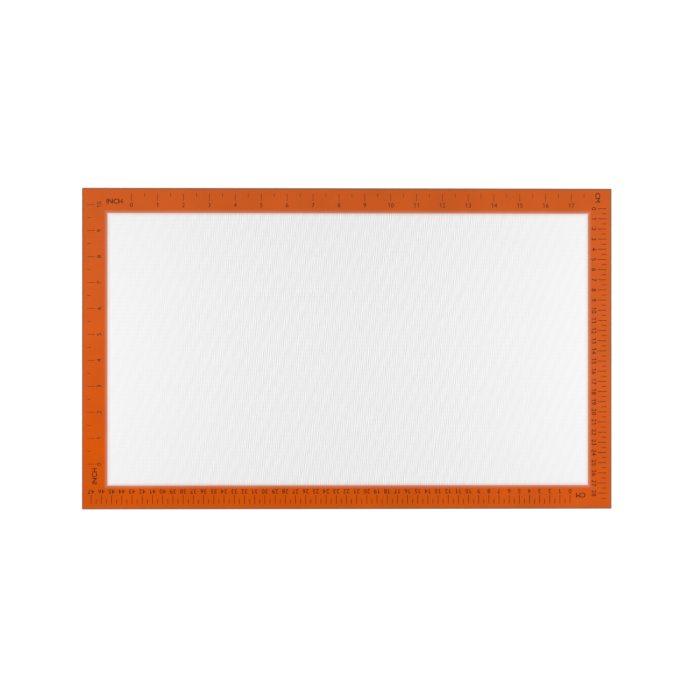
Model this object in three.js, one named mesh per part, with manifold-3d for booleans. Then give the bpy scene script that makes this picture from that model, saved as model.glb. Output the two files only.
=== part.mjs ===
// Silicone baking mat with a ruler printed along each side of its border.
// Millimetres, +Z up. The origin is the middle of the underside, +X runs along the length
// and +Y points to the side that carries the long inch ruler.

import * as THREE from "three";
import { mergeVertices } from "three/addons/utils/BufferGeometryUtils.js";
import Module from "manifold-3d";

// Sheet: a woven glass cloth between two coats of silicone, with a bead along each cut edge
const matLength = 520;
const matWidth = 315;
const baseCoatThickness = 0.2;
const clothThickness = 0.25;
const topCoatThickness = 0.2;
const beadWidth = 1.6; // of the silicone that closes the cut edge of the cloth
const bondGap = 0.005; // left between bonded pieces
const noseSteps = 8; // facets round the bead's outer edge

// Border: a frame of coloured silicone, printed on the top coat and the beads
const borderWidth = 24;
const borderThickness = 0.06;
const windowShiftX = 0.8; // how far the printed window sits off the mat's centre
const windowShiftY = -0.7;
const windowCornerRadius = 1;
const cornerSteps = 4; // facets round each corner of the window
const topCoatColumns = 3; // border, field and border again
const topCoatRows = 3;

// Rulers: raised strokes on the border, with a long tick on each unit and a short one between
const tickInset = 5.2; // from the mat's edge to the outer end of every tick
const tickRise = 0.04; // above the border
const inchStep = 25.4;
const inchLongTick = 7.6;
const inchShortTick = 3.8;
const inchTickWidth = 0.34;
const centimetreStep = 10;
const centimetreLongTick = 8.6;
const centimetreShortTick = 4.7;
const centimetreTickWidth = 0.48;

// Each ruler reads clockwise, seen from above, and starts at a distance from the corner behind it.
const topRulerStart = 48.4;
const rightRulerStart = 19.7;
const bottomRulerStart = 41;
const leftRulerStart = 44.4;
const rulerEndMargin = 8; // least distance from a ruler's last tick to the corner ahead

// Levels and outlines that follow from the sizes above
const clothLevel = baseCoatThickness + bondGap;
const topCoatLevel = clothLevel + clothThickness + bondGap;
const sheetThickness = topCoatLevel + topCoatThickness;
const borderLevel = sheetThickness + bondGap;
const sheetLength = matLength - 2 * (beadWidth + bondGap);
const sheetWidth = matWidth - 2 * (beadWidth + bondGap);
const noseRadius = sheetThickness / 2;
const windowLength = matLength - 2 * borderWidth;
const windowWidth = matWidth - 2 * borderWidth;
const fieldLength = windowLength - 2 * windowCornerRadius;
const fieldWidth = windowWidth - 2 * windowCornerRadius;

const inchRuler = {
  step: inchStep,
  longTick: inchLongTick,
  shortTick: inchShortTick,
  tickWidth: inchTickWidth,
};
const centimetreRuler = {
  step: centimetreStep,
  longTick: centimetreLongTick,
  shortTick: centimetreShortTick,
  tickWidth: centimetreTickWidth,
};

// A side's ruler runs along "along", towards the corner ahead, and its ticks hang inwards from "outward".
// The top ruler stops at the right border, where the right ruler's unit mark stands.
const rulers = [
  { along: [1, 0], outward: [0, 1], start: topRulerStart, end: borderWidth, marks: inchRuler },
  { along: [0, -1], outward: [1, 0], start: rightRulerStart, end: rulerEndMargin, marks: centimetreRuler },
  { along: [-1, 0], outward: [0, -1], start: bottomRulerStart, end: rulerEndMargin, marks: centimetreRuler },
  { along: [0, 1], outward: [-1, 0], start: leftRulerStart, end: rulerEndMargin, marks: inchRuler },
];

const siliconeFinish = new THREE.MeshStandardMaterial({ color: 0xf0f0ee, roughness: 0.6, metalness: 0 });
const glassFinish = new THREE.MeshStandardMaterial({ color: 0xe6e8e6, roughness: 0.8, metalness: 0 });
const borderFinish = new THREE.MeshStandardMaterial({ color: 0xd0581a, roughness: 0.55, metalness: 0 });

const wasm = await Module();
wasm.setup();

// A closed geometry as a solid that can be joined to others
function solidOf(geometry) {
  const bare = geometry.clone();
  bare.deleteAttribute("normal");
  bare.deleteAttribute("uv");
  const merged = mergeVertices(bare);
  return new wasm.Manifold(
    new wasm.Mesh({
      numProp: 3,
      vertProperties: new Float32Array(merged.attributes.position.array),
      triVerts: new Uint32Array(merged.index.array),
    }),
  );
}

function geometryOf(solid) {
  const { vertProperties, triVerts } = solid.getMesh();
  const geometry = new THREE.BufferGeometry();
  geometry.setAttribute("position", new THREE.BufferAttribute(vertProperties, 3));
  geometry.setIndex(new THREE.BufferAttribute(triVerts, 1));
  geometry.computeVertexNormals();
  return geometry;
}

function namedMesh(name, geometry, finish) {
  const mesh = new THREE.Mesh(geometry, finish);
  mesh.name = name;
  return mesh;
}

// One layer of the sheet, standing on its own underside
function layer(thickness) {
  return new THREE.BoxGeometry(sheetLength, sheetWidth, thickness).translate(0, 0, thickness / 2);
}

// The top coat, divided just inside the printed window so that the bare field is a face of its own
function topCoat() {
  const geometry = new THREE.BoxGeometry(
    sheetLength,
    sheetWidth,
    topCoatThickness,
    topCoatColumns,
    topCoatRows,
  );
  geometry.translate(0, 0, topCoatThickness / 2);
  const position = geometry.attributes.position;
  for (let i = 0; i < position.count; i++) {
    const x = position.getX(i);
    const y = position.getY(i);
    // What isn't on the outer edge lies on an edge of the field, clear of the window's round corners.
    if (Math.abs(x) < sheetLength / 4) position.setX(i, windowShiftX + (Math.sign(x) * fieldLength) / 2);
    if (Math.abs(y) < sheetWidth / 4) position.setY(i, windowShiftY + (Math.sign(y) * fieldWidth) / 2);
  }
  return geometry;
}

// The bead's section: flat against the sheet's edge, with a half-round nose. x is outwards and y is up.
function beadSection() {
  const section = new THREE.Shape();
  section.moveTo(0, 0);
  section.lineTo(beadWidth - noseRadius, 0);
  section.absarc(beadWidth - noseRadius, noseRadius, noseRadius, -Math.PI / 2, Math.PI / 2);
  section.lineTo(0, sheetThickness);
  return section;
}

// A bead along one side, mitred where it meets the beads of the two sides next to it
function bead([outX, outY]) {
  const geometry = new THREE.ExtrudeGeometry(beadSection(), {
    depth: 1,
    bevelEnabled: false,
    curveSegments: noseSteps,
  });
  const innerX = matLength / 2 - beadWidth;
  const innerY = matWidth / 2 - beadWidth;
  const position = geometry.attributes.position;
  for (let i = 0; i < position.count; i++) {
    const out = position.getX(i);
    const rise = position.getY(i);
    const end = position.getZ(i) === 0 ? -1 : 1;
    // Each end reaches as far along the side as the point lies out from the sheet, which makes the mitre.
    const alongX = end * outY * (innerX + out - bondGap);
    const alongY = -end * outX * (innerY + out - bondGap);
    position.setXYZ(i, outX * (innerX + out) + alongX, outY * (innerY + out) + alongY, rise);
  }
  geometry.computeVertexNormals();
  return geometry;
}

function windowOutline() {
  const x = windowLength / 2;
  const y = windowWidth / 2;
  const r = windowCornerRadius;
  const outline = new THREE.Path();
  outline.absarc(windowShiftX + x - r, windowShiftY + y - r, r, 0, Math.PI / 2);
  outline.absarc(windowShiftX - x + r, windowShiftY + y - r, r, Math.PI / 2, Math.PI);
  outline.absarc(windowShiftX - x + r, windowShiftY - y + r, r, Math.PI, 1.5 * Math.PI);
  outline.absarc(windowShiftX + x - r, windowShiftY - y + r, r, 1.5 * Math.PI, 2 * Math.PI);
  outline.closePath();
  return outline;
}

// The frame, which reaches out to where the beads begin to round off
function borderFrame() {
  const x = matLength / 2 - noseRadius;
  const y = matWidth / 2 - noseRadius;
  const outline = new THREE.Shape();
  outline.moveTo(-x, -y);
  outline.lineTo(x, -y);
  outline.lineTo(x, y);
  outline.lineTo(-x, y);
  outline.closePath();
  outline.holes.push(windowOutline());
  return new THREE.ExtrudeGeometry(outline, {
    depth: borderThickness,
    bevelEnabled: false,
    curveSegments: cornerSteps,
  });
}

// The strokes of one ruler, each rooted half way down in the border
function rulerTicks({ along, outward, start, end, marks }) {
  const [alongX, alongY] = along;
  const [outX, outY] = outward;
  const sideLength = alongX ? matLength : matWidth;
  const shortStep = marks.step / 2;
  const lastTick = Math.floor((sideLength - start - end) / shortStep);
  const root = borderThickness / 2;
  const ticks = [];
  for (let n = 0; n <= lastTick; n++) {
    const tickLength = n % 2 ? marks.shortTick : marks.longTick;
    const travel = start + n * shortStep - sideLength / 2;
    const reach = (alongX ? matWidth : matLength) / 2 - tickInset - tickLength / 2;
    const tick = new THREE.BoxGeometry(
      alongX ? marks.tickWidth : tickLength,
      alongX ? tickLength : marks.tickWidth,
      root + tickRise,
    );
    tick.translate(
      alongX * travel + outX * reach,
      alongY * travel + outY * reach,
      borderThickness + (tickRise - root) / 2,
    );
    ticks.push(solidOf(tick));
  }
  return ticks;
}

function printedBorder() {
  const strokes = rulers.flatMap(rulerTicks);
  return geometryOf(wasm.Manifold.union([solidOf(borderFrame()), ...strokes]));
}

// Assembly, from the underside up
const sheet = new THREE.Group();
const base = namedMesh("base_coat", layer(baseCoatThickness), siliconeFinish);
const cloth = namedMesh("glass_cloth", layer(clothThickness), glassFinish);
cloth.position.z = clothLevel;
const top = namedMesh("top_coat", topCoat(), siliconeFinish);
top.position.z = topCoatLevel;
sheet.add(base, cloth, top);

const edge = new THREE.Group();
edge.add(
  namedMesh("edge_bead_back", bead([0, 1]), borderFinish),
  namedMesh("edge_bead_right", bead([1, 0]), borderFinish),
  namedMesh("edge_bead_front", bead([0, -1]), borderFinish),
  namedMesh("edge_bead_left", bead([-1, 0]), borderFinish),
);

const print = namedMesh("printed_border", printedBorder(), borderFinish);
print.position.z = borderLevel;

const bakingMat = new THREE.Group();
bakingMat.add(sheet, edge, print);

export default bakingMat;
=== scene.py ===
import math

import bmesh
import bpy
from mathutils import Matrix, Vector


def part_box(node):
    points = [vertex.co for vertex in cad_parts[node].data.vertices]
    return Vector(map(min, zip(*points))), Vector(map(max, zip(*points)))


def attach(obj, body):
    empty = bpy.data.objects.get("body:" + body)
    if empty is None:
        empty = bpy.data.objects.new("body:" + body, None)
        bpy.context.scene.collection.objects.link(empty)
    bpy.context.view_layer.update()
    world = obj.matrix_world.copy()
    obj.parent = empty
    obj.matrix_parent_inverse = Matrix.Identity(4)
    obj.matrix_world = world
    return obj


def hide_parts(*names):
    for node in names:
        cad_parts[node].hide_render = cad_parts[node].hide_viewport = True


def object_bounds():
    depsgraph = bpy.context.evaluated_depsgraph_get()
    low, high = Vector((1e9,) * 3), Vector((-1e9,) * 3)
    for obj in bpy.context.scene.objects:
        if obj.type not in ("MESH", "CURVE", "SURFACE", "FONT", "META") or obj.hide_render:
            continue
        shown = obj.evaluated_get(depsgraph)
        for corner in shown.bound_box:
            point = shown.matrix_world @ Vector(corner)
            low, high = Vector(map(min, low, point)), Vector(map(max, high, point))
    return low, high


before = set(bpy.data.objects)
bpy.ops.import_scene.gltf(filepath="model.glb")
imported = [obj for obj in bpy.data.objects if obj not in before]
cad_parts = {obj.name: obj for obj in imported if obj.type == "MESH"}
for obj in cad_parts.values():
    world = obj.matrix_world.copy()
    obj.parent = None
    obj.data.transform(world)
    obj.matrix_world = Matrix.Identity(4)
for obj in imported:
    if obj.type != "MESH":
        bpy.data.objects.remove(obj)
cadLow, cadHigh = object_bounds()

mm = 0.001
pureWhite = (1, 1, 1, 1)
squareOn = 0.99  # a face looks along an axis if its normal has at least this much of it
print("frame loaded with nodes", ", ".join(sorted(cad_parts)))


# Working tools

def clearSelection():
    if bpy.context.object and bpy.context.object.mode != "OBJECT":
        bpy.ops.object.mode_set(mode="OBJECT")
    bpy.ops.object.select_all(action="DESELECT")


def makeActive(piece):
    clearSelection()
    piece.select_set(True)
    bpy.context.view_layer.objects.active = piece


def startEditing(name):
    piece = bpy.context.object  # the primitive that was just added
    piece.name = name
    piece.data.name = name
    bpy.ops.object.mode_set(mode="EDIT")
    bpy.ops.mesh.select_all(action="SELECT")
    return piece


def pick(piece, kind, wanted):
    # selects edges or faces by their place or normal
    bpy.ops.mesh.select_mode(type={"edges": "EDGE", "faces": "FACE"}[kind])
    bpy.ops.mesh.select_all(action="DESELECT")
    shape = bmesh.from_edit_mesh(piece.data)
    for item in getattr(shape, kind):
        if wanted(item):
            item.select_set(True)
    bmesh.update_edit_mesh(piece.data)


def pickRim():
    # selects the edges along which the mesh is still open
    bpy.ops.mesh.select_mode(type="EDGE")
    bpy.ops.mesh.select_all(action="DESELECT")
    bpy.ops.mesh.select_non_manifold()


def climb(edge):
    # how far an edge goes up from one end to the other
    return abs(edge.verts[0].co.z - edge.verts[1].co.z)


def finishMesh(piece, smoothAngle=30):
    bpy.ops.mesh.select_mode(type="VERT")
    bpy.ops.mesh.select_all(action="SELECT")
    bpy.ops.mesh.normals_make_consistent(inside=False)
    bpy.ops.object.mode_set(mode="OBJECT")
    bpy.ops.object.shade_smooth_by_angle(angle=math.radians(smoothAngle))


def applyModifier(piece, modifier):
    makeActive(piece)
    bpy.ops.object.modifier_apply(modifier=modifier.name)


def joinPieces(name, pieces):
    clearSelection()
    for piece in pieces:
        piece.select_set(True)
    bpy.context.view_layer.objects.active = pieces[0]
    bpy.ops.object.join()
    joined = bpy.context.object
    joined.name = name
    joined.data.name = name
    bpy.ops.object.transform_apply(location=True, rotation=True, scale=True)
    return joined


def addToMat(piece, material, slot, *nodes):
    piece.data.materials.append(material)
    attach(piece, "root")
    if nodes:
        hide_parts(*nodes)
    print("made", piece.name, "with", len(piece.data.polygons), "faces")
    return piece


# Shader tools

def feed(tree, socket, value):
    # links another node's output to a socket, or sets a plain value on it
    if isinstance(value, bpy.types.NodeSocket):
        tree.links.new(value, socket)
    else:
        socket.default_value = value


def calc(tree, operation, *values):
    node = tree.nodes.new("ShaderNodeMath")
    node.operation = operation
    for socket, value in zip(node.inputs, values):
        feed(tree, socket, value)
    return node.outputs["Value"]


mixSockets = {"factor": 0, "first": 6, "second": 7, "result": 2}  # of a Mix node, for colours


def blendColours(tree, factor, first, second):
    node = tree.nodes.new("ShaderNodeMix")
    node.data_type = "RGBA"
    feed(tree, node.inputs[mixSockets["factor"]], factor)
    feed(tree, node.inputs[mixSockets["first"]], first)
    feed(tree, node.inputs[mixSockets["second"]], second)
    return node.outputs[mixSockets["result"]]


def vectorNode(tree, operation, vector):
    node = tree.nodes.new("ShaderNodeVectorMath")
    node.operation = operation
    tree.links.new(vector, node.inputs[0])
    return node


def axes(tree, vector):
    # the X, Y and Z of a place
    node = tree.nodes.new("ShaderNodeSeparateXYZ")
    tree.links.new(vector, node.inputs["Vector"])
    return node.outputs


def tinted(tree, colour, tone):
    # a colour, made lighter or darker by a tone about 1
    node = vectorNode(tree, "SCALE", colour)
    tree.links.new(tone, node.inputs["Scale"])
    return node.outputs["Vector"]


def remap(tree, value, fromLow, fromHigh, toLow, toHigh, smooth=False):
    node = tree.nodes.new("ShaderNodeMapRange")
    node.interpolation_type = "SMOOTHSTEP" if smooth else "LINEAR"
    labels = ("Value", "From Min", "From Max", "To Min", "To Max")
    for label, amount in zip(labels, (value, fromLow, fromHigh, toLow, toHigh)):
        feed(tree, node.inputs[label], amount)
    return node.outputs["Result"]


def softStep(tree, distance, width):
    # 0 to 1 over a width, with the middle at no distance
    half = calc(tree, "MULTIPLY", width, 0.5)
    return remap(tree, distance, calc(tree, "MULTIPLY", half, -1), half, 0, 1, smooth=True)


def addNoise(tree, vector, scale, detail):
    # cloudy values from 0 to 1, mostly near the middle
    node = tree.nodes.new("ShaderNodeTexNoise")
    node.inputs["Detail"].default_value = detail
    tree.links.new(vector, node.inputs["Vector"])
    feed(tree, node.inputs["Scale"], scale)
    return node.outputs["Fac"]


noiseMiddle = 0.5


def addBump(tree, shader, height, depth):
    bump = tree.nodes.new("ShaderNodeBump")
    bump.inputs["Strength"].default_value = 1
    bump.inputs["Distance"].default_value = depth
    tree.links.new(height, bump.inputs["Height"])
    tree.links.new(bump.outputs["Normal"], shader.inputs["Normal"])


def startGroup(name, values, outputs):
    # takes a place on the mat, and values that a material may change
    group = bpy.data.node_groups.new(name, "ShaderNodeTree")
    sockets = group.interface
    sockets.new_socket("Vector", in_out="INPUT", socket_type="NodeSocketVector")
    for label, value in values.items():
        socket = sockets.new_socket(label, in_out="INPUT", socket_type="NodeSocketFloat")
        socket.default_value = value
    for label in outputs:
        sockets.new_socket(label, in_out="OUTPUT", socket_type="NodeSocketFloat")
    entry = group.nodes.new("NodeGroupInput").outputs
    end = group.nodes.new("NodeGroupOutput").inputs
    return group, entry, end


def addGroup(tree, group, coords, **values):
    node = tree.nodes.new("ShaderNodeGroup")
    node.node_tree = group
    tree.links.new(coords, node.inputs["Vector"])
    for label, value in values.items():
        node.inputs[label].default_value = value
    return node.outputs


def startMaterial(name, specular):
    material = bpy.data.materials.new(name)
    material.use_nodes = True
    tree = material.node_tree
    shader = tree.nodes["Principled BSDF"]
    shader.inputs["Specular IOR Level"].default_value = specular
    coords = tree.nodes.new("ShaderNodeTexCoord").outputs["Object"]
    return material, tree, shader, coords


# Camera and stage

photoCamera = {
    "height": 1.6,  # above the floor
    "lens": 83.8,
    "sensor": 36,
    "place": (-24.7 * mm, -3.2 * mm),
    "tilt": (0.066, -0.973, 0.009),  # degrees off straight down, about X, Y and Z
}


def setCamera():
    bpy.ops.object.camera_add(location=(*photoCamera["place"], photoCamera["height"]))
    camera = bpy.context.object
    camera.name = "photoCamera"
    camera.rotation_euler = [math.radians(angle) for angle in photoCamera["tilt"]]
    camera.data.lens = photoCamera["lens"]
    camera.data.sensor_width = photoCamera["sensor"]
    bpy.context.scene.camera = camera


studio = {
    "worldLevel": 0.45,
    "lampPlace": (0.62, 0.0, 0.44),  # of the right lamp, with the left one opposite
    "lampSize": 0.65,
    "leftPower": 3.0,
    "rightPower": 3.15,
    "floorSize": 24,
    "floorColour": (0.93, 0.93, 0.93, 1),
    "nearGlow": 0.22,  # brings the floor up to white for the camera, here by the mat
    "farGlow": 0.6,  # and here where the lamps don't reach
    "glowRange": (0.3, 0.95),  # from the middle of the mat
}


def seenRays(tree):
    # 1 for rays from the camera, and for those that gloss or glass send on
    path = tree.nodes.new("ShaderNodeLightPath")
    seen = calc(tree, "MAXIMUM", path.outputs["Is Camera Ray"], path.outputs["Is Glossy Ray"])
    return calc(tree, "MAXIMUM", seen, path.outputs["Is Transmission Ray"])


def addLamp(name, place, power):
    bpy.ops.object.light_add(type="AREA", location=place)
    lamp = bpy.context.object
    lamp.name = name
    lamp.data.shape = "SQUARE"
    lamp.data.size = studio["lampSize"]
    lamp.data.energy = power
    tilt = math.atan2(place[0], place[2])  # turned to face the middle of the mat
    lamp.rotation_euler = (0, tilt, 0)
    lamp.visible_camera = False


def setLight():
    world = bpy.data.worlds.new("studioWorld")
    world.use_nodes = True
    bpy.context.scene.world = world
    tree = world.node_tree
    backdrop = tree.nodes["Background"].inputs
    backdrop["Color"].default_value = pureWhite
    level = studio["worldLevel"]
    strength = calc(tree, "MULTIPLY_ADD", seenRays(tree), 1 - level, level)
    tree.links.new(strength, backdrop["Strength"])
    x, y, z = studio["lampPlace"]
    addLamp("lampRight", (x, y, z), studio["rightPower"])
    addLamp("lampLeft", (-x, y, z), studio["leftPower"])


def layFloor():
    clearSelection()
    bpy.ops.mesh.primitive_plane_add(size=studio["floorSize"], location=(0, 0, cadLow.z))
    floor = bpy.context.object
    floor.name = "floor"
    paint, tree, shader, coords = startMaterial("floorPaint", 0)
    shader.inputs["Base Color"].default_value = studio["floorColour"]
    shader.inputs["Roughness"].default_value = 1
    shader.inputs["Emission Color"].default_value = pureWhite
    away = vectorNode(tree, "LENGTH", coords).outputs["Value"]
    glow = remap(tree, away, *studio["glowRange"], studio["nearGlow"], studio["farGlow"])
    tree.links.new(calc(tree, "MULTIPLY", seenRays(tree), glow), shader.inputs["Emission Strength"])
    floor.data.materials.append(paint)


# Shared effects

weave = {
    "warpPitch": 1.3 * mm,  # between the yarns that run across the mat
    "weftPitch": 1.3 * mm,  # between the yarns that run along it
    "handover": 0.25,  # how gradually one yarn gives way to the other on top
}


def makeYarnGroup():
    # plain weave: a warp yarn lies on top where cross is over 0, and a weft yarn where it is under
    group, entry, end = startGroup(
        "wovenYarns",
        {"Warp Pitch": weave["warpPitch"], "Weft Pitch": weave["weftPitch"]},
        ["Height", "Gaps", "Warp"],
    )
    place = axes(group, entry["Vector"])
    acrossWarp = calc(group, "DIVIDE", place["X"], entry["Warp Pitch"])
    acrossWeft = calc(group, "DIVIDE", place["Y"], entry["Weft Pitch"])
    warpWave = calc(group, "COSINE", calc(group, "MULTIPLY", acrossWarp, math.pi))
    weftWave = calc(group, "COSINE", calc(group, "MULTIPLY", acrossWeft, math.pi))
    cross = calc(group, "MULTIPLY", warpWave, weftWave)
    warpRound = calc(group, "MULTIPLY", warpWave, warpWave)
    weftRound = calc(group, "MULTIPLY", weftWave, weftWave)
    warpOver = remap(group, cross, -weave["handover"], weave["handover"], 0, 1, smooth=True)
    height = calc(group, "MULTIPLY", warpRound, warpOver)
    height = calc(group, "MULTIPLY_ADD", weftRound, calc(group, "SUBTRACT", 1, warpOver), height)
    warpSide = calc(group, "SUBTRACT", 1, warpRound)
    weftSide = calc(group, "SUBTRACT", 1, weftRound)
    gaps = calc(group, "MULTIPLY", warpSide, weftSide)
    group.links.new(height, end["Height"])
    group.links.new(gaps, end["Gaps"])
    group.links.new(warpRound, end["Warp"])
    return group


border = {
    "width": 24 * mm,
    "shift": (0.8 * mm, -0.7 * mm),  # of the printed window off the mat's centre
    "cornerRadius": 1 * mm,
    "cornerSteps": 5,
    "cutterReach": 10,  # how far up and down the window's cutter goes, in thicknesses of the print
    "edge": 1.6 * mm,  # over which the print ends at the window
    "bleed": 8 * mm,  # over which some of its colour creeps into the field
    "bleedShare": 0.6,
    "rim": 3 * mm,  # painted shade: a duller line along the outer edge, this wide
    "frontLitColour": (0.652, 0.0885, 0.0005, 1),  # of the print at the front of the mat, as painted light makes it there
    "backLitColour": (0.622, 0.104, 0.0145, 1),  # and at the back, where the painted light leaves it duller and hazier
    "lightChangeRange": (-160 * mm, 40 * mm),  # where that painted change of light begins and ends
    "lightChangeLean": 0.25,  # and how far it turns towards the right
    "paleColour": (0.68, 0.61, 0.49, 1),  # that the print fades to
    # painted shade of the rounded outer edge
    "edgeShadeColour": (0.34, 0.12, 0.045, 1),
    "yarnShadeTones": (0.95, 1.045),  # painted shade at the sides of a yarn, and painted highlight on its top
    "roughness": (0.7, 0.58),  # at the same two places
    "specular": 0.06,
    "mottleScale": 25,
    "mottleStrength": 0.25,
    "bumpDepth": 0.008 * mm,
    "weaveRise": 0.02 * mm,
}
windowHalf = (cadHigh.x - border["width"], cadHigh.y - border["width"])


def makePrintGroup():
    # Print is 1 in the border and 0 in the bare field, with a soft edge between. The second
    # output is 1 at the mat's edge, for a painted shade along it. The third goes from 0 to 1
    # from the front of the mat to the back, for a painted change of light across the print.
    group, entry, end = startGroup(
        "printEdges",
        {
            "Edge": border["edge"],
            "Bleed": border["bleed"],
            "Bleed Share": border["bleedShare"],
            "Rim": border["rim"],
        },
        ["Print", "Rim", "Thin"],
    )
    place = axes(group, entry["Vector"])
    pastWindow = []
    insideEdge = []
    for axis, half, shift, limit in zip("XY", windowHalf, border["shift"], cadHigh):
        off = calc(group, "ABSOLUTE", calc(group, "SUBTRACT", place[axis], shift))
        pastWindow.append(calc(group, "SUBTRACT", off, half))
        out = calc(group, "ABSOLUTE", place[axis])
        insideEdge.append(calc(group, "SUBTRACT", limit, out))
    distance = calc(group, "MAXIMUM", *pastWindow)
    sharp = softStep(group, distance, entry["Edge"])
    soft = softStep(group, distance, entry["Bleed"])
    change = calc(group, "SUBTRACT", soft, sharp)
    printed = calc(group, "MULTIPLY_ADD", change, entry["Bleed Share"], sharp)
    group.links.new(printed, end["Print"])
    # painted shade: 1 at the mat's outer edge, fading inwards
    rim = remap(group, calc(group, "MINIMUM", *insideEdge), 0, entry["Rim"], 1, 0, smooth=True)
    group.links.new(rim, end["Rim"])
    # painted light: the print's colour changes from the front of the mat to the back, leaning to
    # the right
    back = calc(group, "MULTIPLY_ADD", place["X"], border["lightChangeLean"], place["Y"])
    group.links.new(remap(group, back, *border["lightChangeRange"], 0, 1), end["Thin"])
    return group


# the print's orange, with the painted change of light from front to back
def printColour(tree, edges):
    return blendColours(tree, edges["Thin"], border["frontLitColour"], border["backLitColour"])


streaks = {
    # spacing of each set of lines, and how far they lean to the right, in degrees
    "fine": (2.04 * mm, -4.9),
    "crossing": (2.57 * mm, 6.2),
    "broad": (9.5 * mm, 23.3),
    # how far each changes the tone
    "fineStrength": 0.058,
    "crossingStrength": 0.032,
    "dashStrength": 0.14,
    "broadStrength": 0.013,
    "patch": 7 * mm,  # the fine lines come and go in patches of this size
    "patchNoise": (0.3, 0.7),  # noise that makes the palest and the clearest patches
    "patchRange": (0, 2),  # and the strength of the lines there
    "dash": (1 * mm, 9 * mm, 1),  # size of the short strokes between the lines
    "detail": 1,  # of the patches and strokes
    "fade": (60 * mm, 240 * mm),  # all grow fainter from here to here, out from the mat's middle
    "fineEnd": 0.12,  # what is left of the fine lines there, and of the broad ones
    "broadEnd": 0.46,
}


def streakLines(tree, vector, spacing, lean):
    # 1 on each line and -1 half way to the next
    turn = math.radians(lean)
    wave = 2 * math.pi / spacing
    across = vectorNode(tree, "DOT_PRODUCT", vector)
    across.inputs[1].default_value = (wave * math.cos(turn), -wave * math.sin(turn), 0)
    return calc(tree, "COSINE", across.outputs["Value"])


def makeStreakGroup():
    # faint lines of whiter yarns in the cloth
    group, entry, end = startGroup(
        "streaks",
        {
            "Fine Strength": streaks["fineStrength"],
            "Crossing Strength": streaks["crossingStrength"],
            "Dash Strength": streaks["dashStrength"],
            "Broad Strength": streaks["broadStrength"],
        },
        ["Tone"],
    )
    fine = streakLines(group, entry["Vector"], *streaks["fine"])
    fine = calc(group, "MULTIPLY", fine, entry["Fine Strength"])
    crossing = streakLines(group, entry["Vector"], *streaks["crossing"])
    fine = calc(group, "MULTIPLY_ADD", crossing, entry["Crossing Strength"], fine)
    noise = addNoise(group, entry["Vector"], 1 / streaks["patch"], streaks["detail"])
    patches = remap(group, noise, *streaks["patchNoise"], *streaks["patchRange"])
    fine = calc(group, "MULTIPLY", fine, patches)
    stretch = vectorNode(group, "DIVIDE", entry["Vector"])
    stretch.inputs[1].default_value = streaks["dash"]
    strokes = addNoise(group, stretch.outputs["Vector"], 1, streaks["detail"])
    dashes = calc(group, "SUBTRACT", strokes, noiseMiddle)
    fine = calc(group, "MULTIPLY_ADD", dashes, entry["Dash Strength"], fine)
    broad = streakLines(group, entry["Vector"], *streaks["broad"])
    broad = calc(group, "MULTIPLY", broad, entry["Broad Strength"])
    out = calc(group, "ABSOLUTE", axes(group, entry["Vector"])["X"])
    tone = 1
    for lines, left in ((fine, streaks["fineEnd"]), (broad, streaks["broadEnd"])):
        share = remap(group, out, *streaks["fade"], 1, left, smooth=True)
        tone = calc(group, "MULTIPLY_ADD", lines, share, tone)
    group.links.new(tone, end["Tone"])
    return group


mottle = {
    "scale": 40,
    "strength": 0.05,
    "detail": 3,
}


def makeMottleGroup():
    # slow changes of tone, about 1
    group, entry, end = startGroup(
        "mottle",
        {"Scale": mottle["scale"], "Strength": mottle["strength"]},
        ["Tone"],
    )
    noise = addNoise(group, entry["Vector"], entry["Scale"], mottle["detail"])
    centred = calc(group, "SUBTRACT", noise, noiseMiddle)
    group.links.new(calc(group, "MULTIPLY_ADD", centred, entry["Strength"], 1), end["Tone"])
    return group


def addMottle(tree, coords, finish):
    scale, strength = finish["mottleScale"], finish["mottleStrength"]
    return addGroup(tree, mottleGroup, coords, Scale=scale, Strength=strength)["Tone"]


yarnGroup = makeYarnGroup()
printGroup = makePrintGroup()
mottleGroup = makeMottleGroup()
streakGroup = makeStreakGroup()
print("shared effects made: weave, print edges, mottle and streaks")


# Sheets with the weave in relief on one face

def wovenSheet(name, low, high, reach, rise, faceUp=True):
    # reach is how far out from the mat's centre the relief goes; the rest is flat
    columns = 2 * int(reach[0] / weave["warpPitch"])
    rows = 2 * int(reach[1] / weave["weftPitch"])
    wovenLevel = high.z if faceUp else low.z + rise / 2
    backLevel = low.z if faceUp else high.z
    clearSelection()
    bpy.ops.mesh.primitive_grid_add(x_subdivisions=columns, y_subdivisions=rows, size=1)
    piece = startEditing(name)
    size = (columns * weave["warpPitch"], rows * weave["weftPitch"], 1)
    bpy.ops.transform.resize(value=size, center_override=(0, 0, 0))
    bpy.ops.transform.translate(value=(0, 0, wovenLevel - rise / 2))
    # every other crossing is raised, as a checkerboard
    bpy.ops.mesh.select_mode(type="VERT")
    shape = bmesh.from_edit_mesh(piece.data)
    shape.verts.ensure_lookup_table()
    shape.select_history.add(shape.verts[0])
    bpy.ops.mesh.select_nth(skip=1, nth=1)
    bpy.ops.transform.translate(value=(0, 0, rise))
    # the rim goes out flat to the sheet's edge, then through to its back
    pickRim()
    middle = ((low.x + high.x) / 2, (low.y + high.y) / 2)
    grow = ((high.x - low.x) / size[0], (high.y - low.y) / size[1], 0)
    bpy.ops.mesh.extrude_edges_move()
    bpy.ops.transform.resize(value=grow, center_override=(0, 0, wovenLevel))
    bpy.ops.transform.translate(value=(*middle, 0))
    bpy.ops.mesh.extrude_edges_move()
    bpy.ops.transform.translate(value=(0, 0, backLevel - wovenLevel))
    bpy.ops.mesh.edge_face_add()
    finishMesh(piece)
    return piece


# Silicone coats

silicone = {
    "crown": (0.897, 0.897, 0.897, 1),  # over the yarns
    "gap": (0.838, 0.842, 0.842, 1),  # between them
    "roughness": (0.6, 0.75),  # over the yarns, and between them
    "yarnShadeTones": (0.965, 1.03),  # painted shade at the sides of a yarn, and painted highlight on its top
    "specular": 0.07,
    "bumpDepth": 0.035 * mm,
}


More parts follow.
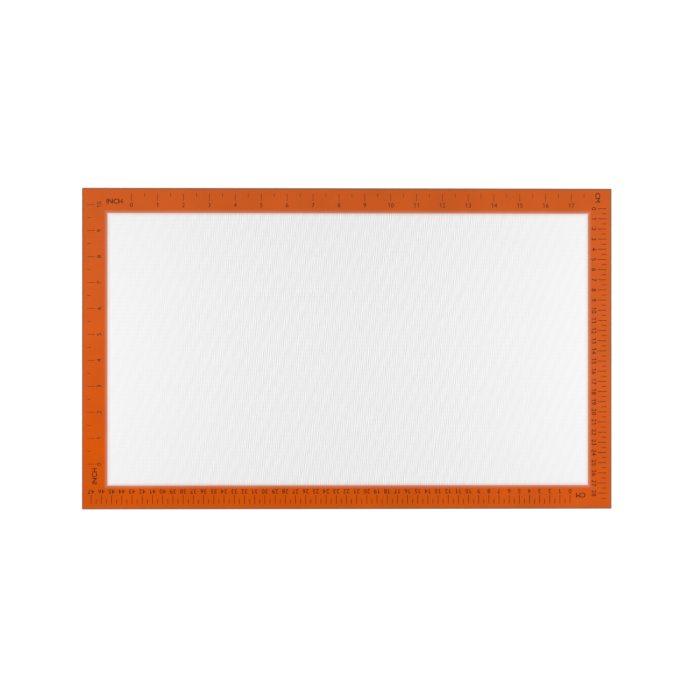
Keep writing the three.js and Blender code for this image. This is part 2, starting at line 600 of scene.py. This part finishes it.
def siliconeMaterial(name, printShare):
    material, tree, shader, coords = startMaterial(name, silicone["specular"])
    yarns = addGroup(tree, yarnGroup, coords)
    # painted shade on the yarns' sides and painted highlight on their tops
    yarnShading = remap(tree, yarns["Height"], 0, 1, *silicone["yarnShadeTones"])
    tone = calc(tree, "MULTIPLY", addGroup(tree, streakGroup, coords)["Tone"], yarnShading)
    edges = addGroup(tree, printGroup, coords)
    printed = calc(tree, "MULTIPLY", edges["Print"], printShare)
    white = blendColours(tree, yarns["Gaps"], silicone["crown"], silicone["gap"])
    colour = blendColours(tree, printed, white, printColour(tree, edges))
    tree.links.new(tinted(tree, colour, tone), shader.inputs["Base Color"])
    roughness = remap(tree, yarns["Gaps"], 0, 1, *silicone["roughness"])
    tree.links.new(roughness, shader.inputs["Roughness"])
    addBump(tree, shader, yarns["Height"], silicone["bumpDepth"])
    return material


baseCoat = {
    "weaveRise": 0.05 * mm,
    "printShare": 0.1,  # of the border's colour that shows through, seen from below
}


def makeBaseCoat():
    low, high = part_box("base_coat")
    piece = wovenSheet("baseCoat", low, high, high, baseCoat["weaveRise"], faceUp=False)
    material = siliconeMaterial("siliconeBelow", baseCoat["printShare"])
    return addToMat(piece, material, "silicone", "base_coat")


topCoat = {
    "weaveRise": 0.05 * mm,
    "underBorder": 1.5 * mm,  # how far the relief runs on under the border
    "printShare": 1,  # of the border's colour, under the border and at its soft edge
}


def makeTopCoat():
    low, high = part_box("top_coat")
    under = topCoat["underBorder"]
    reach = [half + abs(shift) + under for half, shift in zip(windowHalf, border["shift"])]
    piece = wovenSheet("topCoat", low, high, reach, topCoat["weaveRise"])
    material = siliconeMaterial("siliconeAbove", topCoat["printShare"])
    return addToMat(piece, material, "silicone", "top_coat")


# Printed border

def borderMaterial(name):
    material, tree, shader, coords = startMaterial(name, border["specular"])
    yarns = addGroup(tree, yarnGroup, coords)
    edges = addGroup(tree, printGroup, coords)
    # painted shade on the yarns' sides and painted highlight on their tops
    yarnShading = remap(tree, yarns["Height"], 0, 1, *border["yarnShadeTones"])
    tone = calc(tree, "MULTIPLY", addMottle(tree, coords, border), yarnShading)
    colour = blendColours(tree, edges["Print"], border["paleColour"], printColour(tree, edges))
    # painted shade along the mat's outer edge
    colour = blendColours(tree, edges["Rim"], colour, border["edgeShadeColour"])
    tree.links.new(tinted(tree, colour, tone), shader.inputs["Base Color"])
    roughness = remap(tree, yarns["Height"], 0, 1, *border["roughness"])
    tree.links.new(roughness, shader.inputs["Roughness"])
    addBump(tree, shader, yarns["Height"], border["bumpDepth"])
    return material


def windowCutter(low, high):
    clearSelection()
    bpy.ops.mesh.primitive_cube_add(size=2)
    cutter = startEditing("windowCutter")
    tall = border["cutterReach"] * (high.z - low.z)
    bpy.ops.transform.resize(value=(*windowHalf, tall), center_override=(0, 0, 0))
    bpy.ops.transform.translate(value=(*border["shift"], low.z))
    pick(cutter, "edges", lambda edge: climb(edge) > tall)
    bpy.ops.mesh.bevel(
        offset=border["cornerRadius"], segments=border["cornerSteps"], affect="EDGES"
    )
    finishMesh(cutter)
    return cutter


def makeBorder():
    low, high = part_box("printed_border")
    high.z -= ink["rise"]  # the box takes in the strokes on the border
    piece = wovenSheet("printedBorder", low, high, high, border["weaveRise"])
    # the relief's faces aren't flat until they are triangles, and flat ones are cut cleanly
    bpy.ops.object.mode_set(mode="EDIT")
    bpy.ops.mesh.quads_convert_to_tris()
    cutter = windowCutter(low, high)
    cut = piece.modifiers.new("window", "BOOLEAN")
    cut.operation = "DIFFERENCE"
    cut.solver = "EXACT"
    cut.object = cutter
    applyModifier(piece, cut)
    bpy.data.objects.remove(cutter)
    return addToMat(piece, borderMaterial("orangePrint"), "border", "printed_border")


# Edge bead, one closed ring round the cloth's cut edge

edgeBead = {
    "cornerRadius": 0.7 * mm,
    "cornerSteps": 5,
    "noseShare": 0.49,  # of the thickness, so that the upper and lower rounds don't meet
    "noseSteps": 6,
    "smoothAngle": 40,
    "roughness": 0.6,
    "mottleScale": 60,
    "mottleStrength": 0.2,
}


def beadMaterial(name):
    material, tree, shader, coords = startMaterial(name, border["specular"])
    shader.inputs["Roughness"].default_value = edgeBead["roughness"]
    edges = addGroup(tree, printGroup, coords)
    # painted shade along the edge, over nearly all of the bead
    colour = blendColours(tree, edges["Rim"], printColour(tree, edges), border["edgeShadeColour"])
    tone = addMottle(tree, coords, edgeBead)
    tree.links.new(tinted(tree, colour, tone), shader.inputs["Base Color"])
    return material


def makeEdgeBead():
    low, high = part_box("edge_bead_front")
    thickness = high.z - low.z
    width = high.y - low.y
    nose = edgeBead["noseShare"] * thickness
    clearSelection()
    bpy.ops.mesh.primitive_plane_add(size=2)
    piece = startEditing("edgeBead")
    bpy.ops.transform.resize(value=(cadHigh.x, cadHigh.y, 1), center_override=(0, 0, 0))
    bpy.ops.transform.translate(value=(0, 0, low.z))
    bpy.ops.mesh.bevel(
        offset=edgeBead["cornerRadius"], segments=edgeBead["cornerSteps"], affect="VERTICES"
    )
    bpy.ops.mesh.extrude_region_move(TRANSFORM_OT_translate={"value": (0, 0, thickness)})
    pick(piece, "edges", lambda edge: climb(edge) < nose)
    bpy.ops.mesh.bevel(offset=nose, segments=edgeBead["noseSteps"], affect="EDGES")
    # the two flat faces, which have more corners than a facet of the nose, are opened,
    # and their rims joined by an inner wall
    pick(piece, "faces", lambda face: abs(face.normal.z) > squareOn and len(face.verts) > 4)
    bpy.ops.mesh.inset(thickness=width - nose)
    bpy.ops.mesh.delete(type="FACE")
    pickRim()
    bpy.ops.mesh.bridge_edge_loops()
    finishMesh(piece, edgeBead["smoothAngle"])
    nodes = ["edge_bead_" + side for side in ("front", "back", "left", "right")]
    return addToMat(piece, beadMaterial("orangeBead"), "border", *nodes)


# Glass cloth, closed in between the coats

glassCloth = {
    "weaveRise": 0.12 * mm,
    "yarnColour": (0.82, 0.83, 0.82, 1),
    "gapColour": (0.35, 0.36, 0.36, 1),
    "warpColour": (0.9, 0.9, 0.88, 1),
    "warpShare": 0.3,  # of that colour on the tops of the warp yarns
    "roughness": 0.7,
    "specular": 0.4,
    "bumpDepth": 0.06 * mm,
}


def glassMaterial(name):
    material, tree, shader, coords = startMaterial(name, glassCloth["specular"])
    shader.inputs["Roughness"].default_value = glassCloth["roughness"]
    yarns = addGroup(tree, yarnGroup, coords)
    colour = blendColours(tree, yarns["Gaps"], glassCloth["yarnColour"], glassCloth["gapColour"])
    warp = calc(tree, "MULTIPLY", yarns["Warp"], glassCloth["warpShare"])
    colour = blendColours(tree, warp, colour, glassCloth["warpColour"])
    tree.links.new(colour, shader.inputs["Base Color"])
    addBump(tree, shader, yarns["Height"], glassCloth["bumpDepth"])
    return material


def makeGlassCloth():
    low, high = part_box("glass_cloth")
    high.z -= glassCloth["weaveRise"] / 2
    piece = wovenSheet("glassCloth", low, high, high, glassCloth["weaveRise"])
    return addToMat(piece, glassMaterial("glassYarn"), "glass_cloth", "glass_cloth")


# Ruler print

ink = {
    "rise": 0.04 * mm,  # above the border
    "root": 0.03 * mm,  # sunk in the border, below the hollows of its weave
    "colour": (0.02, 0.008, 0.004, 1),
    "wornColour": (0.045, 0.013, 0.005, 1),
    "wearRange": (0.8, 1.2),  # mottle at which wear begins and is full
    "mottleScale": 300,
    "mottleStrength": 0.9,
    "roughness": 0.6,
    "specular": 0.05,
}
inkDepth = ink["rise"] + ink["root"]
tickMarks = {
    "inset": 5.2 * mm,  # from the mat's edge to the outer end of every tick
    "edgeRound": 0.015 * mm,
    "endMargin": 8 * mm,  # least distance from a ruler's last tick to the corner ahead
}
numberType = {
    "height": 4.3 * mm,
    "digitStep": 3.3 * mm,
    "stemShift": 0.3 * mm,  # of the 1 off its middle, to make room for its flag
    "flag": (-0.95 * mm, -0.62 * mm),  # from the stem to the flag's end
    "flagRoot": 1.2,  # how far down the stem the flag is rooted, in widths of the stem
}
wordType = {
    "height": 4.6 * mm,
    "boldness": 0.06 * mm,  # added to the font's outline all round
}
font = {
    "capital": 0.69,  # height of a capital, and width of its stem, as shares of the font's size
    "stem": 0.098,
    "leastEdge": 0.03 * mm,  # shorter ones in an outline are merged
    "curveSteps": 6,  # in each curved stretch of a letter
}
inch = {
    "word": "INCH",
    "step": 25.4 * mm,
    "longTick": 7.6 * mm,
    "shortTick": 3.8 * mm,
    "tickWidth": 0.34 * mm,
    "numberGap": 1.8 * mm,  # from the end of a long tick
    "boldness": -0.05 * mm,  # of the numbers, added to the font's outline all round
}
centimetre = {
    "word": "CM",
    "step": 10 * mm,
    "longTick": 8.6 * mm,
    "shortTick": 4.7 * mm,
    "tickWidth": 0.48 * mm,
    "numberGap": 1.45 * mm,
    "boldness": 0,
}

# each ruler reads clockwise from the corner behind it, with its numbers' heads outwards;
# its unit word is placed along from that corner and in from the mat's edge
rulers = [
    {
        "name": "topRuler",
        "turn": 0,
        "unit": inch,
        "start": 48.4 * mm,
        "end": border["width"],  # the right ruler's unit word stands there
        "wordPlace": (31.8 * mm, 13.1 * mm),
    },
    {
        "name": "rightRuler",
        "turn": -90,
        "unit": centimetre,
        "start": 19.7 * mm,
        "end": tickMarks["endMargin"],
        "wordPlace": (9 * mm, 13.6 * mm),
    },
    {
        "name": "bottomRuler",
        "turn": 180,
        "unit": centimetre,
        "start": 41 * mm,
        "end": tickMarks["endMargin"],
        "wordPlace": (30.6 * mm, 13.4 * mm),
    },
    {
        "name": "leftRuler",
        "turn": 90,
        "unit": inch,
        "start": 44.4 * mm,
        "end": tickMarks["endMargin"],
        "wordPlace": (32.5 * mm, 12.3 * mm),
    },
]


def inkMaterial(name):
    material, tree, shader, coords = startMaterial(name, ink["specular"])
    shader.inputs["Roughness"].default_value = ink["roughness"]
    wear = remap(tree, addMottle(tree, coords, ink), *ink["wearRange"], 0, 1, smooth=True)
    colour = blendColours(tree, wear, ink["colour"], ink["wornColour"])
    tree.links.new(colour, shader.inputs["Base Color"])
    return material


def sideSizes(ruler):
    # half the length of the ruler's own side, and how far that side is from the mat's centre
    lying = ruler["turn"] in (0, 180)
    return (cadHigh.x, cadHigh.y) if lying else (cadHigh.y, cadHigh.x)


def lastTick(ruler):
    halfSide = sideSizes(ruler)[0]
    return int((2 * halfSide - ruler["start"] - ruler["end"]) / (ruler["unit"]["step"] / 2))


def turnToSide(piece, ruler):
    # modelled on the top side, then turned to its own
    makeActive(piece)
    piece.rotation_euler = (0, 0, math.radians(ruler["turn"]))
    bpy.ops.object.transform_apply(location=True, rotation=True, scale=True)


def tickRow(name, ruler, first, length):
    # one stroke, modelled at the row's first tick and repeated along the side
    halfSide, reach = sideSizes(ruler)
    step = ruler["unit"]["step"]
    clearSelection()
    bpy.ops.mesh.primitive_cube_add(size=1)
    piece = startEditing(name)
    size = (ruler["unit"]["tickWidth"], length, inkDepth)
    bpy.ops.transform.resize(value=size, center_override=(0, 0, 0))
    middle = (
        ruler["start"] - halfSide + first * step / 2,
        reach - tickMarks["inset"] - length / 2,
        cadHigh.z - inkDepth / 2,
    )
    bpy.ops.transform.translate(value=middle)
    pick(piece, "edges", lambda edge: all(vert.co.z > middle[2] for vert in edge.verts))
    bpy.ops.mesh.bevel(offset=tickMarks["edgeRound"], segments=1, affect="EDGES")
    finishMesh(piece)
    row = piece.modifiers.new("row", "ARRAY")
    row.count = (lastTick(ruler) - first) // 2 + 1
    row.use_relative_offset = False
    row.use_constant_offset = True
    row.constant_offset_displace = (step, 0, 0)
    applyModifier(piece, row)
    return piece


def makeTicks(ruler):
    unit = ruler["unit"]
    long = tickRow("longTicks", ruler, 0, unit["longTick"])
    short = tickRow("shortTicks", ruler, 1, unit["shortTick"])
    piece = joinPieces(ruler["name"] + "Ticks", [long, short])
    turnToSide(piece, ruler)
    return piece


def letters(name, text, capHeight, boldness, centre):
    # raised type, with the middle of its capitals at centre; it is made a thousand times larger,
    # because Blender takes the points of strokes this fine for doubles
    halfDepth = inkDepth / 2
    clearSelection()
    bpy.ops.object.text_add()
    piece = bpy.context.object
    piece.name = name
    lettering = piece.data
    lettering.body = text
    lettering.align_x = "CENTER"
    lettering.resolution_u = font["curveSteps"]
    lettering.size = capHeight / font["capital"] / mm
    lettering.extrude = halfDepth / mm
    lettering.fill_mode = "NONE"
    bpy.ops.object.convert(target="MESH")
    # the walls are moved out or in to give the strokes their weight, and then closed at both levels
    piece = bpy.context.object
    bpy.ops.object.mode_set(mode="EDIT")
    bpy.ops.mesh.select_all(action="SELECT")
    bpy.ops.mesh.remove_doubles(threshold=font["leastEdge"] / mm)
    bpy.ops.transform.shrink_fatten(value=boldness / mm, use_even_offset=True)
    for level in (-halfDepth / mm, halfDepth / mm):
        pick(piece, "edges", lambda edge: all(vert.co.z * level > 0 for vert in edge.verts))
        bpy.ops.transform.resize(value=(1, 1, 0), center_override=(0, 0, level))
        bpy.ops.mesh.fill()
    bpy.ops.mesh.select_all(action="SELECT")
    bpy.ops.mesh.beautify_fill(angle_limit=math.pi)  # no face without area is left in the fill
    finishMesh(piece)
    piece.scale = (mm, mm, mm)
    piece.location = (centre[0], centre[1] - capHeight / 2, cadHigh.z - halfDepth)
    bpy.ops.object.transform_apply(location=True, rotation=True, scale=True)
    return piece


def makeOne(boldness):
    # a stem, with a flag drawn out of the side of its upper end
    stem = numberType["height"] / font["capital"] * font["stem"] + 2 * boldness
    height = numberType["height"] + 2 * boldness
    clearSelection()
    bpy.ops.mesh.primitive_cube_add(size=1)
    piece = startEditing("digit")
    bpy.ops.transform.resize(value=(stem, height, inkDepth), center_override=(0, 0, 0))
    bpy.ops.transform.translate(value=(numberType["stemShift"], 0, cadHigh.z - inkDepth / 2))
    root = height / 2 - numberType["flagRoot"] * stem
    bpy.ops.mesh.bisect(plane_co=(0, root, 0), plane_no=(0, 1, 0))
    pick(
        piece,
        "faces",
        lambda face: face.normal.x < -squareOn and face.calc_center_median().y > root,
    )
    bpy.ops.mesh.extrude_region_move(TRANSFORM_OT_translate={"value": (*numberType["flag"], 0)})
    finishMesh(piece)
    return piece


def makeDigits(boldness):
    digits = []
    for n in range(10):
        if n == 1:
            digits.append(makeOne(boldness))
        else:
            digits.append(letters("digit", str(n), numberType["height"], boldness, (0, 0)))
    return digits


def copyDigit(digit, x, y):
    makeActive(digit)
    bpy.ops.object.duplicate(linked=False)
    copy = bpy.context.object
    copy.location = (x, y, 0)
    return copy


def makeNumbers(ruler, digits):
    halfSide, reach = sideSizes(ruler)
    unit = ruler["unit"]
    digitStep = numberType["digitStep"]
    ticksEnd = reach - tickMarks["inset"] - unit["longTick"]
    row = ticksEnd - unit["numberGap"] - numberType["height"] / 2
    copies = []
    for n in range(lastTick(ruler) // 2 + 1):
        figures = str(n)
        x = ruler["start"] - halfSide + n * unit["step"] - (len(figures) - 1) * digitStep / 2
        for figure in figures:
            copies.append(copyDigit(digits[int(figure)], x, row))
            x += digitStep
    piece = joinPieces(ruler["name"] + "Numbers", copies)
    turnToSide(piece, ruler)
    return piece


def makeUnitWord(ruler):
    halfSide, reach = sideSizes(ruler)
    along, inset = ruler["wordPlace"]
    centre = (along - halfSide, reach - inset)
    word = ruler["unit"]["word"]
    name = ruler["name"] + "Unit"
    piece = letters(name, word, wordType["height"], wordType["boldness"], centre)
    turnToSide(piece, ruler)
    return piece


def makeRulers():
    black = inkMaterial("rulerInk")
    digits = {unit["word"]: makeDigits(unit["boldness"]) for unit in (inch, centimetre)}
    pieces = []
    for ruler in rulers:
        numbers = makeNumbers(ruler, digits[ruler["unit"]["word"]])
        for piece in (makeTicks(ruler), numbers, makeUnitWord(ruler)):
            pieces.append(addToMat(piece, black, "ink"))
    for unitDigits in digits.values():
        for digit in unitDigits:
            bpy.data.objects.remove(digit)
    return pieces


# The whole mat

setCamera()
setLight()
layFloor()
print("camera and studio set")

lower = makeBaseCoat()
cloth = makeGlassCloth()
upper = makeTopCoat()
bead = makeEdgeBead()
orange = makeBorder()
rulerPrint = makeRulers()

bpy.context.scene.view_settings.view_transform = "Standard"
